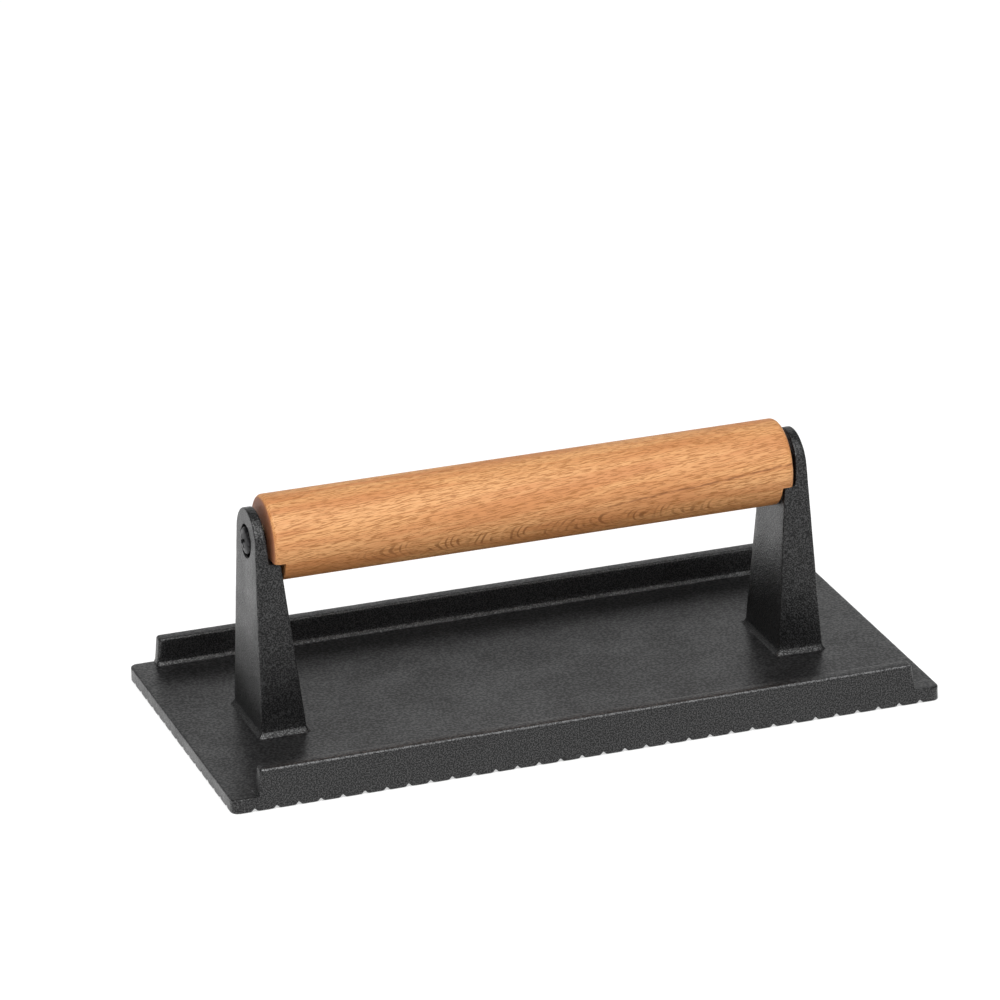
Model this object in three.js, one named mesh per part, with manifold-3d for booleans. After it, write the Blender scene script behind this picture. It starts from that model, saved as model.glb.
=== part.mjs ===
// A cast-iron bacon press: a plate with a waffle sole and two posts that hold a wooden handle.
// Millimetres. +X runs along the plate, +Y to its rear edge, +Z up; the origin is the sole's middle.
import * as THREE from "three";
import { mergeVertices } from "three/addons/utils/BufferGeometryUtils.js";
import Module from "manifold-3d";

const wasm = await Module();
wasm.setup();

const inch = 25.4;
const gap = 0.2; // between neighbouring pieces
const overrun = 2; // how far a cutter reaches past the face that it cuts
const circleSegments = 32;
const filletSegments = 4;

// Plate, in the inch sizes that such presses come in
const plateLength = 8.25 * inch;
const plateWidth = 4.25 * inch;
const plateThickness = 4.2;
const plateCornerRadius = 2.5;

// Waffle sole: a grid of square pads with V-grooves between them
const padPitch = inch / 4;
const padsAlong = plateLength / padPitch;
const padsAcross = plateWidth / padPitch;
const grooveWidth = 1.6;
const crosswiseGrooveDepth = 1;
const lengthwiseGrooveDepth = 0.9;

// Ridges along the plate's long edges
const ridgeHeight = 8;
const ridgeWidth = 4.3;
const ridgeEndInset = 7.6;
const ridgeEndDraft = 0.9;
const ridgeTopRadius = 0.9;
const ridgeFootRadius = 1;

// Handle: a round bar with rounded ends, notched below where it sits over the posts
const handleAxisHeight = 58.4;
const handleRadius = 12.4;
const handleEndRadius = 1.6;
const notchDepth = 3.4;
const notchDrop = 4.1; // from the handle's axis down to the notch
const shoulderGap = 0.4; // from the notch down to the post's shoulder

// Posts: tapered in both directions, with a thin round-topped ear at the handle
const postOuterFoot = 84.5; // distances from the middle along X
const postOuterAtAxis = 82.4;
const postInnerFoot = 71;
const postInnerAtShoulder = 75.2;
const postHalfWidthFoot = 14;
const earInner = 78.5;
const endGap = 1; // from the ear to the handle's end
const earInnerDraft = 0.8; // from the shoulder to the ear's top
const earCentreHeight = 58;
const earRadius = 9.7;
const footFillet = 1;

// Fasteners: a cross-recess screw sunk in each ear, a split washer and an insert in the wood
const recessRadius = 4.75;
const recessFloor = 80;
const screwRadius = 2.5;
const screwHoleRadius = 2.9;
const screwLength = 17;
const screwHeadRadius = 3.9;
const screwHeadRim = 1.6;
const screwHeadHeight = 2.4;
const crossLength = 4.4;
const crossWidth = 1;
const crossDepth = 1.3;
const screwTipChamfer = 0.8;
const washerThickness = 0.6;
const washerOuterRadius = 4;
const washerInnerRadius = 2.8;
const washerSplitAngle = 0.22;
const insertRadius = 4.2;
const insertLength = 14;
const insertRibs = 4;
const insertRibDepth = 0.5;
const insertBoreRadius = 2.7;
const insertSocketRadius = 4.4;
const insertSocketDepth = 17;

const plateTop = plateThickness;
const shoulderHeight = handleAxisHeight - notchDrop - shoulderGap;
const handleHalfLength = earInner - endGap;
const washerSeat = recessFloor + gap;
const headSeat = washerSeat + washerThickness + gap;

const alongX = new THREE.Matrix4().makeBasis(
  new THREE.Vector3(0, 1, 0),
  new THREE.Vector3(0, 0, 1),
  new THREE.Vector3(1, 0, 0),
);
const alongY = new THREE.Matrix4().makeBasis(
  new THREE.Vector3(1, 0, 0),
  new THREE.Vector3(0, 0, 1),
  new THREE.Vector3(0, -1, 0),
);

const castIron = { color: 0x2c2c2d, roughness: 0.6, metalness: 0.5 };
const beech = { color: 0xd0946a, roughness: 0.5, metalness: 0 };
const blackSteel = { color: 0x3c3c3e, roughness: 0.4, metalness: 0.9 };
const springSteel = { color: 0x6f7072, roughness: 0.35, metalness: 1 };
const brass = { color: 0xb5903f, roughness: 0.35, metalness: 1 };

function solidOf(geometry) {
  const bare = geometry.clone();
  bare.deleteAttribute("normal");
  bare.deleteAttribute("uv");
  const merged = mergeVertices(bare);
  return new wasm.Manifold(
    new wasm.Mesh({
      numProp: 3,
      vertProperties: merged.attributes.position.array,
      triVerts: new Uint32Array(merged.index.array),
    }),
  );
}

function geometryOf(solid) {
  const { vertProperties, triVerts } = solid.getMesh();
  const indexed = new THREE.BufferGeometry();
  indexed.setAttribute("position", new THREE.BufferAttribute(vertProperties, 3));
  indexed.setIndex(new THREE.BufferAttribute(triVerts, 1));
  const geometry = indexed.toNonIndexed();
  geometry.computeVertexNormals();
  return geometry;
}

function joined(solids) {
  return solids.reduce((whole, solid) => whole.add(solid));
}

function polygon(points) {
  return new THREE.Shape(points.map(([u, v]) => new THREE.Vector2(u, v)));
}

function extruded(shape, depth) {
  return new THREE.ExtrudeGeometry(shape, {
    depth,
    bevelEnabled: false,
    curveSegments: filletSegments,
  });
}

// A YZ outline pushed from x = start to x = end.
function extrudedAlongX(shape, start, end) {
  return extruded(shape, end - start).applyMatrix4(alongX).translate(start, 0, 0);
}

// An XZ outline pushed from y = start to y = end.
function extrudedAlongY(shape, start, end) {
  return extruded(shape, end - start).applyMatrix4(alongY).translate(0, end, 0);
}

// A round bar along X from x = start to x = end at the handle's height.
function barAlongX(radius, start, end) {
  return new THREE.CylinderGeometry(radius, radius, end - start, circleSegments)
    .rotateZ(Math.PI / 2)
    .translate((start + end) / 2, 0, handleAxisHeight);
}

// A profile of [radius, x] points turned about the handle's axis.
function turned(profile) {
  const points = profile.map(([radius, x]) => new THREE.Vector2(radius, x));
  return new THREE.LatheGeometry(points, circleSegments)
    .rotateZ(-Math.PI / 2)
    .translate(0, 0, handleAxisHeight);
}

// Points of a quarter circle about [centreU, centreV], from one angle to another.
function arc(centreU, centreV, radius, from, to) {
  return Array.from({ length: filletSegments + 1 }, (_, step) => {
    const angle = from + ((to - from) * step) / filletSegments;
    return [centreU + radius * Math.cos(angle), centreV + radius * Math.sin(angle)];
  });
}

function roundedRectangle(length, width, radius) {
  const u = length / 2 - radius;
  const v = width / 2 - radius;
  const quarter = Math.PI / 2;
  return polygon([
    ...arc(u, -v, radius, -quarter, 0),
    ...arc(u, v, radius, 0, quarter),
    ...arc(-u, v, radius, quarter, 2 * quarter),
    ...arc(-u, -v, radius, 2 * quarter, 3 * quarter),
  ]);
}

// The grooves run out at all four edges.
function waffleGrooves() {
  const groove = (middle, depth) => {
    const mouth = (grooveWidth / 2) * (1 + overrun / depth);
    return polygon([
      [middle - mouth, -overrun],
      [middle + mouth, -overrun],
      [middle, depth],
    ]);
  };
  const halfLength = plateLength / 2;
  const halfWidth = plateWidth / 2;
  const grooves = [];
  for (let line = 1; line < padsAlong; line += 1) {
    const shape = groove(line * padPitch - halfLength, crosswiseGrooveDepth);
    grooves.push(extrudedAlongY(shape, -halfWidth - overrun, halfWidth + overrun));
  }
  for (let line = 1; line < padsAcross; line += 1) {
    const shape = groove(line * padPitch - halfWidth, lengthwiseGrooveDepth);
    grooves.push(extrudedAlongX(shape, -halfLength - overrun, halfLength + overrun));
  }
  return joined(grooves.map(solidOf));
}

function plate() {
  const outline = roundedRectangle(plateLength, plateWidth, plateCornerRadius);
  return solidOf(extruded(outline, plateThickness)).subtract(waffleGrooves());
}

// The rear ridge, with a rounded top, a fillet at its inner foot and drafted ends.
function ridge() {
  const quarter = Math.PI / 2;
  const outer = plateWidth / 2;
  const inner = outer - ridgeWidth;
  const top = plateTop + ridgeHeight;
  const root = plateTop - ridgeFootRadius;
  const section = polygon([
    [outer, root],
    ...arc(outer - ridgeTopRadius, top - ridgeTopRadius, ridgeTopRadius, 0, quarter),
    ...arc(inner + ridgeTopRadius, top - ridgeTopRadius, ridgeTopRadius, quarter, 2 * quarter),
    ...arc(inner - ridgeFootRadius, plateTop + ridgeFootRadius, ridgeFootRadius, 0, -quarter),
    [inner - ridgeFootRadius, root],
  ]);
  const foot = plateLength / 2 - ridgeEndInset;
  const crest = foot - ridgeEndDraft;
  const ends = polygon([
    [-foot, root],
    [foot, root],
    [foot, plateTop],
    [crest, top],
    [-crest, top],
    [-foot, plateTop],
  ]);
  const bar = solidOf(extrudedAlongX(section, -plateLength / 2, plateLength / 2));
  return bar.intersect(solidOf(extrudedAlongY(ends, inner - overrun * 2, outer + overrun)));
}

// The front view of a post: straight sides that run on as tangents into the round ear.
function postFrontView(root) {
  const drop = earCentreHeight - plateTop;
  const reach = Math.hypot(postHalfWidthFoot, drop);
  const tilt = Math.atan2(drop, postHalfWidthFoot) - Math.acos(earRadius / reach);
  const outline = new THREE.Shape();
  outline.moveTo(-postHalfWidthFoot, root);
  outline.lineTo(postHalfWidthFoot, root);
  outline.lineTo(postHalfWidthFoot, plateTop);
  outline.absarc(0, earCentreHeight, earRadius, -tilt, Math.PI + tilt, false);
  outline.lineTo(-postHalfWidthFoot, plateTop);
  outline.closePath();
  return outline;
}

// The side view of the right-hand post: it tapers up to a shoulder, then a thin ear.
function postSideView(root, top) {
  const outerSlope = (postOuterAtAxis - postOuterFoot) / (handleAxisHeight - plateTop);
  const outerTop = postOuterFoot + outerSlope * (top - plateTop);
  return polygon([
    [postInnerFoot, root],
    [postOuterFoot, root],
    [postOuterFoot, plateTop],
    [outerTop, top],
    [earInner + earInnerDraft, top],
    [earInner, shoulderHeight],
    [postInnerAtShoulder, shoulderHeight],
    [postInnerFoot, plateTop],
  ]);
}

// The sloping skirt where the right-hand post meets the plate.
function postFoot() {
  const middle = (postInnerFoot + postOuterFoot) / 2;
  const depth = plateThickness / 4;
  const outline = roundedRectangle(postOuterFoot - postInnerFoot, 2 * postHalfWidthFoot, footFillet / 2);
  return solidOf(
    new THREE.ExtrudeGeometry(outline, {
      depth,
      bevelThickness: footFillet,
      bevelSize: footFillet,
      bevelSegments: 1,
    }).translate(middle, 0, plateTop - depth),
  );
}

// The right-hand post with the stepped hole for its screw.
function post() {
  const root = plateTop / 2;
  const top = earCentreHeight + earRadius + overrun;
  const front = new THREE.ExtrudeGeometry(postFrontView(root), {
    depth: postOuterFoot - postInnerFoot,
    bevelEnabled: false,
    curveSegments: circleSegments / 2,
  });
  front.applyMatrix4(alongX).translate(postInnerFoot, 0, 0);
  const side = extrudedAlongY(postSideView(root, top), -postHalfWidthFoot, postHalfWidthFoot);
  const hole = barAlongX(screwHoleRadius, earInner - overrun, postOuterFoot);
  const recess = barAlongX(recessRadius, recessFloor, postOuterFoot + overrun);
  return solidOf(front)
    .intersect(solidOf(side))
    .add(postFoot())
    .subtract(solidOf(hole))
    .subtract(solidOf(recess));
}

// The same solid on the right and turned half round on the left (or rear and front).
function andTurned(solid) {
  return solid.add(solid.rotate([0, 0, 180]));
}

function baseCasting() {
  return geometryOf(joined([plate(), andTurned(ridge()), andTurned(post())]));
}

function handle() {
  const quarter = Math.PI / 2;
  const shoulder = handleHalfLength - handleEndRadius;
  const collar = handleRadius - handleEndRadius;
  const profile = [
    [0, -handleHalfLength],
    ...arc(collar, -shoulder, handleEndRadius, -quarter, 0),
    ...arc(collar, shoulder, handleEndRadius, 0, quarter),
    [0, handleHalfLength],
  ];
  const notchHeight = handleAxisHeight - notchDrop;
  const notchFloor = handleAxisHeight - handleRadius - overrun;
  const notch = polygon([
    [handleHalfLength - notchDepth, notchFloor],
    [handleHalfLength + overrun, notchFloor],
    [handleHalfLength + overrun, notchHeight],
    [handleHalfLength - notchDepth, notchHeight],
  ]);
  const notches = solidOf(extrudedAlongY(notch, -handleRadius - overrun, handleRadius + overrun));
  const socketStart = handleHalfLength - insertSocketDepth;
  const sockets = solidOf(barAlongX(insertSocketRadius, socketStart, handleHalfLength + overrun));
  return geometryOf(
    solidOf(turned(profile)).subtract(andTurned(notches)).subtract(andTurned(sockets)),
  );
}

// The right-hand screw: a domed head with a cross recess over a plain shank with a chamfered tip.
function screw() {
  const head = headSeat;
  const tip = head - screwLength;
  const domeRise = screwHeadHeight - screwHeadRim;
  const domeRadius = (screwHeadRadius ** 2 + domeRise ** 2) / (2 * domeRise);
  const domeCentre = head + screwHeadHeight - domeRadius;
  const dome = Array.from({ length: filletSegments + 1 }, (_, step) => {
    const radius = screwHeadRadius * (1 - step / filletSegments);
    return [radius, domeCentre + Math.sqrt(domeRadius ** 2 - radius ** 2)];
  });
  const profile = [
    [0, tip],
    [screwRadius - screwTipChamfer, tip],
    [screwRadius, tip + screwTipChamfer],
    [screwRadius, head],
    [screwHeadRadius, head],
    ...dome,
  ];
  const crossTop = head + screwHeadHeight;
  const wing = () => new THREE.BoxGeometry(2 * crossDepth, crossLength, crossWidth);
  const cross = [wing(), wing().rotateX(Math.PI / 2)].map((box) =>
    solidOf(box.translate(crossTop, 0, handleAxisHeight)),
  );
  return geometryOf(solidOf(turned(profile)).subtract(joined(cross)));
}

// The right-hand split washer: a flat ring with a slit.
function splitWasher() {
  const outline = new THREE.Shape();
  const from = washerSplitAngle / 2;
  const to = 2 * Math.PI - washerSplitAngle / 2;
  outline.absarc(0, 0, washerOuterRadius, from, to, false);
  outline.absarc(0, 0, washerInnerRadius, to, from, true);
  outline.closePath();
  return new THREE.ExtrudeGeometry(outline, {
    depth: washerThickness,
    bevelEnabled: false,
    curveSegments: circleSegments / 2,
  })
    .applyMatrix4(alongX)
    .translate(washerSeat, 0, handleAxisHeight);
}

// The right-hand insert: a ribbed tube that sits in the socket in the handle's end.
function threadedInsert() {
  const outerEnd = handleHalfLength - gap;
  const innerEnd = outerEnd - insertLength;
  const ribPitch = insertLength / insertRibs;
  const ribs = Array.from({ length: insertRibs }, (_, rib) => {
    const x = innerEnd + rib * ribPitch;
    return [
      [insertRadius - insertRibDepth, x],
      [insertRadius, x + ribPitch / 2],
    ];
  }).flat();
  const profile = [
    [insertBoreRadius, outerEnd],
    [insertBoreRadius, innerEnd],
    ...ribs,
    [insertRadius - insertRibDepth, outerEnd],
    [insertBoreRadius, outerEnd],
  ];
  return turned(profile);
}

const press = new THREE.Group();

function place(parent, name, geometry, look) {
  const mesh = new THREE.Mesh(geometry, new THREE.MeshStandardMaterial(look));
  mesh.name = name;
  parent.add(mesh);
}

place(press, "base_casting", baseCasting(), castIron);
place(press, "handle", handle(), beech);
for (const [side, turn] of [
  ["right", 0],
  ["left", Math.PI],
]) {
  const end = new THREE.Group();
  end.rotation.z = turn;
  press.add(end);
  place(end, `handle_screw_${side}`, screw(), blackSteel);
  place(end, `split_washer_${side}`, splitWasher(), springSteel);
  place(end, `threaded_insert_${side}`, threadedInsert(), brass);
}

export default press;
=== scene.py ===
"""A cast-iron bacon press with a beech handle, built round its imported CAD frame.

Everything is in metres in the CAD's own frame: +X along the plate, +Y to its rear edge, +Z up.
"""

import math

import bmesh
import bpy
from mathutils import Matrix, Vector, noise


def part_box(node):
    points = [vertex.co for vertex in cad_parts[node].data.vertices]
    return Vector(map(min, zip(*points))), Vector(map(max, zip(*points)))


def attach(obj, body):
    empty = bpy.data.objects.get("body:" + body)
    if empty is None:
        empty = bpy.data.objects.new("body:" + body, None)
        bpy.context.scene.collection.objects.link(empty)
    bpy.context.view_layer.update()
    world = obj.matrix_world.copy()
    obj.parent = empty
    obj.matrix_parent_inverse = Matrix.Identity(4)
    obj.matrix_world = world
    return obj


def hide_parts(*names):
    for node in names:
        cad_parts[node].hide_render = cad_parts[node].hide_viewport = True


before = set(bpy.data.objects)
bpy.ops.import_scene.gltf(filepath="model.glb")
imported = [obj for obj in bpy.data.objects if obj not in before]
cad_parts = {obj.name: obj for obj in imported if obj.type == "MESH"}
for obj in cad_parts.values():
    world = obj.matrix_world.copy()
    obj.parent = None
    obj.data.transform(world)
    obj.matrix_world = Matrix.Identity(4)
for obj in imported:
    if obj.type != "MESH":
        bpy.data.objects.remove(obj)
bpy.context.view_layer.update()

MM = 0.001
BODY = "root"

# ---------------------------------------------------------------- sizes, worked from the frame

casting_low, casting_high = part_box("base_casting")
handle_low, handle_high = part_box("handle")
screw_low, screw_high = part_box("handle_screw_right")
washer_low, washer_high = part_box("split_washer_right")
insert_low, insert_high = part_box("threaded_insert_right")

PLATE_HALF_LENGTH = casting_high.x
PLATE_HALF_WIDTH = casting_high.y
PADS_ALONG = 33
PADS_ACROSS = 17
PAD_PITCH = 2 * PLATE_HALF_LENGTH / PADS_ALONG
AXIS_HEIGHT = (handle_low.z + handle_high.z) / 2
HANDLE_RADIUS = (handle_high.z - handle_low.z) / 2
HANDLE_HALF_LENGTH = handle_high.x
GAP = 0.2 * MM

# The casting's own sizes: the CAD's, with softer grooves, pads, edges and feet
PLATE_TOP = 4.2 * MM
PLATE_CORNER = 2.5 * MM
PLATE_EDGE_ROUNDING = 0.45 * MM
SOLE_EDGE_ROUNDING = 0.25 * MM
GROOVE_HALF_WIDTH = 1.15 * MM
GROOVE_DEPTH = 1.05 * MM
GROOVE_SHOULDER = 1.5  # the higher, the flatter the pads are beside the grooves
PAD_CROWN = 0.35 * MM  # how far a pad's middle stands proud of its edges
PLATE_SIDE_INSET = 0.02 * MM  # keeps the plate's sides just inside the ridges' outer faces
PLATE_SIDE_LEVELS = (1.3 * MM, 2.1 * MM, 2.9 * MM)
SKIN_ROUGHNESS = 0.07 * MM
SKIN_GRAIN = 1.5 * MM

RIDGE_HEIGHT = 8 * MM
RIDGE_WIDTH = 4.3 * MM
RIDGE_END_INSET = 7.6 * MM
RIDGE_END_DRAFT = 0.9 * MM
RIDGE_TOP_ROUNDING = 0.8 * MM
RIDGE_FOOT_FILLET = 1.1 * MM
RIDGE_FOOT_FLARE = 0.9 * MM
RIDGE_END_FLARE = 0.4  # of the flare at the inner foot
RIDGE_CORNER = 1.1 * MM

POST_OUTER_FOOT = 84.5 * MM
POST_OUTER_AT_AXIS = 82.4 * MM
POST_INNER_FOOT = 71 * MM
POST_INNER_AT_SHOULDER = 75.2 * MM
POST_HALF_WIDTH_FOOT = 14 * MM
POST_EDGE_ROUNDING = 0.45 * MM
POST_FOOT_FILLET = 1.5 * MM
POST_FOOT_FLARE = 1.1 * MM
END_GAP = 1.0 * MM
EAR_INNER = HANDLE_HALF_LENGTH + END_GAP
EAR_INNER_DRAFT = 0.8 * MM
EAR_RADIUS = 9.7 * MM
EAR_CENTRE = casting_high.z - EAR_RADIUS
NOTCH_DROP = 4.1 * MM
NOTCH_DEPTH = 3.4 * MM
SHOULDER_GAP = 0.4 * MM
FOOT_RING = 0.03 * MM  # how far below the plate's top a foot is held upright by a ring of points
SHOULDER_HEIGHT = AXIS_HEIGHT - NOTCH_DROP - SHOULDER_GAP
RECESS_RADIUS = 4.75 * MM
RECESS_FLOOR = washer_low.x - GAP
SCREW_HOLE_RADIUS = 2.9 * MM
RECESS_RIM = 0.35 * MM
OVERCUT = 3 * MM  # how far cutting tools reach beyond the surface that they cut

HANDLE_END_ROUNDING = 1.6 * MM
NOTCH_ROUNDING = 0.3 * MM
SOCKET_RADIUS = 4.4 * MM
SOCKET_DEPTH = 17 * MM

SCREW_RADIUS = 2.5 * MM
SCREW_PITCH = 0.8 * MM
SCREW_THREAD_DEPTH = 0.4 * MM
SCREW_NECK = 1.2 * MM
HEAD_SEAT = washer_high.x + GAP
HEAD_RADIUS = 3.9 * MM
HEAD_RIM = 1.6 * MM
HEAD_HEIGHT = 2.4 * MM
HEAD_EDGE_ROUNDING = 0.25 * MM
CROSS_LENGTH = 4.4 * MM
CROSS_WIDTH = 1.1 * MM
CROSS_DEPTH = 1.5 * MM
CROSS_TURN = math.radians(24)
WASHER_OUTER = 4 * MM
WASHER_INNER = 2.8 * MM
WASHER_SPLIT = 0.22  # the slit's width as an angle
WASHER_BEVEL = 0.1 * MM
INSERT_RADIUS = 4.2 * MM
INSERT_RIB_DEPTH = 0.5 * MM
INSERT_PITCH = 2.5 * MM
INSERT_BORE = 2.7 * MM
INSERT_BORE_THREAD = 0.25 * MM
INSERT_SLOT = 1.2 * MM
INSERT_SLOT_DEPTH = 1.5 * MM

QUARTER_TURN = math.pi / 2
SQUARE = ((-1, -1), (1, -1), (1, 1), (-1, 1))

# Where the handle's growth marks lie
CRESCENT_HEIGHT = AXIS_HEIGHT - 5.6 * MM
CRESCENT_SPACING = 2.5 * MM
CRESCENT_BEND = 0.33 / MM  # how far a crescent's tips trail, over their height squared
LINE_HEIGHT = AXIS_HEIGHT - 1.1 * MM
LINE_START = 34 * MM
LINE_CLIMB = 0.08


# ---------------------------------------------------------------- mesh helpers


def piece_from(name, vertices, faces):
    mesh = bpy.data.meshes.new(name)
    mesh.from_pydata([tuple(v) for v in vertices], [], [tuple(f) for f in faces])
    mesh.update()
    piece = bpy.data.objects.new(name, mesh)
    bpy.context.scene.collection.objects.link(piece)
    return piece


def weld_outward(piece, distance=1e-7):
    """Joins vertices that coincide and turns every face outwards."""
    shape = bmesh.new()
    shape.from_mesh(piece.data)
    bmesh.ops.remove_doubles(shape, verts=shape.verts, dist=distance)
    bmesh.ops.dissolve_degenerate(shape, edges=shape.edges, dist=distance)
    bmesh.ops.recalc_face_normals(shape, faces=shape.faces)
    shape.to_mesh(piece.data)
    shape.free()
    return piece


class Patches:
    """Collects grids of points as quads; weld_outward then joins them along their common edges."""

    def __init__(self):
        self.vertices = []
        self.faces = []

    def grid(self, points, closed=False):
        """points[row][column]; closed joins the last column to the first."""
        start = len(self.vertices)
        columns = len(points[0])
        for row in points:
            self.vertices.extend(row)
        last = columns if closed else columns - 1
        for row in range(len(points) - 1):
            for column in range(last):
                beside = (column + 1) % columns
                a = start + row * columns
                b = a + columns
                self.faces.append((a + column, a + beside, b + beside, b + column))

    def polygon(self, points):
        start = len(self.vertices)
        self.vertices.extend(points)
        self.faces.append(tuple(range(start, start + len(points))))

    def piece(self, name):
        return weld_outward(piece_from(name, self.vertices, self.faces))


def settled(piece):
    """Turns a piece's modifiers into its own mesh."""
    bpy.context.view_layer.update()
    graph = bpy.context.evaluated_depsgraph_get()
    mesh = bpy.data.meshes.new_from_object(piece.evaluated_get(graph), depsgraph=graph)
    piece.modifiers.clear()
    old = piece.data
    piece.data = mesh
    mesh.name = piece.name
    bpy.data.meshes.remove(old)
    return piece


def combined(piece, tools, operation):
    """Joins the tools to the piece, or cuts them from it, and removes them."""
    for tool in tools:
        step = piece.modifiers.new(operation, "BOOLEAN")
        step.object = tool
        step.operation = operation
        step.solver = "MANIFOLD"
    settled(piece)
    for tool in tools:
        bpy.data.objects.remove(tool)
    return piece


def turned_copy(piece, name):
    """A copy turned half a turn about Z: right becomes left, rear becomes front."""
    copy = piece.copy()
    copy.data = piece.data.copy()
    copy.name = name
    copy.data.transform(Matrix.Rotation(math.pi, 4, "Z"))
    bpy.context.scene.collection.objects.link(copy)
    return copy


def smooth(piece, angle=math.radians(40)):
    for polygon in piece.data.polygons:
        polygon.use_smooth = True
    piece.data.set_sharp_from_angle(angle=angle)
    return piece


def turned(name, profile, segments=96, thread=None):
    """A closed body of [radius, x] points turned about the handle's axis. A profile that starts and
    ends at radius 0 is solid, any other closes on itself. thread(radius, x, angle) reshapes it."""
    patches = Patches()
    angles = [2 * math.pi * k / segments for k in range(segments)]
    rings = []
    for radius, x in profile:
        if radius > 0:
            radii = [thread(radius, x, angle) if thread else radius for angle in angles]
            rings.append([around_axis(x, r, angle) for r, angle in zip(radii, angles)])
    patches.grid(rings, closed=True)
    for (radius, x), ring in ((profile[0], rings[0]), (profile[-1], rings[-1])):
        if radius == 0:
            middle = (x, 0, AXIS_HEIGHT)
            for k in range(segments):
                patches.polygon([middle, ring[k], ring[(k + 1) % segments]])
    if profile[0][0] > 0:
        patches.grid([rings[0], rings[-1]], closed=True)
    return patches.piece(name)


def around_axis(x, radius, angle):
    return (x, radius * math.cos(angle), AXIS_HEIGHT + radius * math.sin(angle))


def ridge_of_thread(x, angle, pitch):
    """0 at a thread's root and 1 at its crest, for a right-hand thread along X."""
    phase = (x / pitch - angle / (2 * math.pi)) % 1.0
    return 1 - abs(2 * phase - 1)


def quarter_arc(steps, start=0.0, stop=QUARTER_TURN):
    """Evenly spaced angles of a quarter turn."""
    return [start + (stop - start) * k / steps for k in range(steps + 1)]


# ---------------------------------------------------------------- the casting


def outline_point(along, across, inset):
    """Maps a point of the plate's rectangle into its rounded outline, drawn in by inset."""
    half_length = PLATE_HALF_LENGTH - inset
    half_width = PLATE_HALF_WIDTH - inset
    radius = PLATE_CORNER - inset
    x = along * half_length
    y = across * half_width
    a = (abs(x) - (half_length - radius)) / radius
    b = (abs(y) - (half_width - radius)) / radius
    if a > 0 and b > 0:
        bent_a = a * math.sqrt(1 - b * b / 2)
        bent_b = b * math.sqrt(1 - a * a / 2)
        x = math.copysign(half_length - radius + bent_a * radius, x)
        y = math.copysign(half_width - radius + bent_b * radius, y)
    return x, y


def inside_distance(x, y):
    """How far a point lies inside the plate's rounded outline."""
    a = abs(x) - (PLATE_HALF_LENGTH - PLATE_CORNER)
    b = abs(y) - (PLATE_HALF_WIDTH - PLATE_CORNER)
    if a > 0 and b > 0:
        return PLATE_CORNER - math.hypot(a, b)
    return PLATE_CORNER - max(a, b)


def groove_height(position, half_span):
    """How far the sole rises from the pads' middles to the grooves that lie across one direction."""
    line = round((position + half_span) / PAD_PITCH)
    if line <= 0 or line >= round(2 * half_span / PAD_PITCH):
        return 0.0
    distance = abs(position + half_span - line * PAD_PITCH)
    wave = (1 + math.cos(math.pi * min(distance / GROOVE_HALF_WIDTH, 1))) / 2
    crown = PAD_CROWN * (1 - 2 * distance / PAD_PITCH) ** 2
    return (GROOVE_DEPTH - PAD_CROWN) * wave**GROOVE_SHOULDER + crown


def sole_height(x, y):
    depth = SOLE_EDGE_ROUNDING - max(inside_distance(x, y), 0)
    edge = 0.0
    if depth > 0:
        edge = SOLE_EDGE_ROUNDING - math.sqrt(SOLE_EDGE_ROUNDING**2 - depth**2)
    heights = (
        groove_height(x, PLATE_HALF_LENGTH),
        groove_height(y, PLATE_HALF_WIDTH),
        edge,
    )
    sharpness = 5  # of the crease where two of them meet
    return sum(h**sharpness for h in heights) ** (1 / sharpness)


def pad_lines(pads, groove_share, shares):
    """Grid lines from -1 to 1, at the given shares of each pad's pitch."""
    lines = [(pad + share) for pad in range(pads) for share in shares(groove_share)]
    return [2 * line / pads - 1 for line in lines] + [1.0]


def fine_shares(groove):
    """Shares of a pad's pitch, close together in the grooves at its two sides."""
    near = [0, 0.3 * groove, 0.62 * groove, groove]
    inner = [(groove + 0.5) / 2, 0.5]
    return near + inner + [1 - s for s in reversed(near[1:] + inner[:1])]


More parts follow.
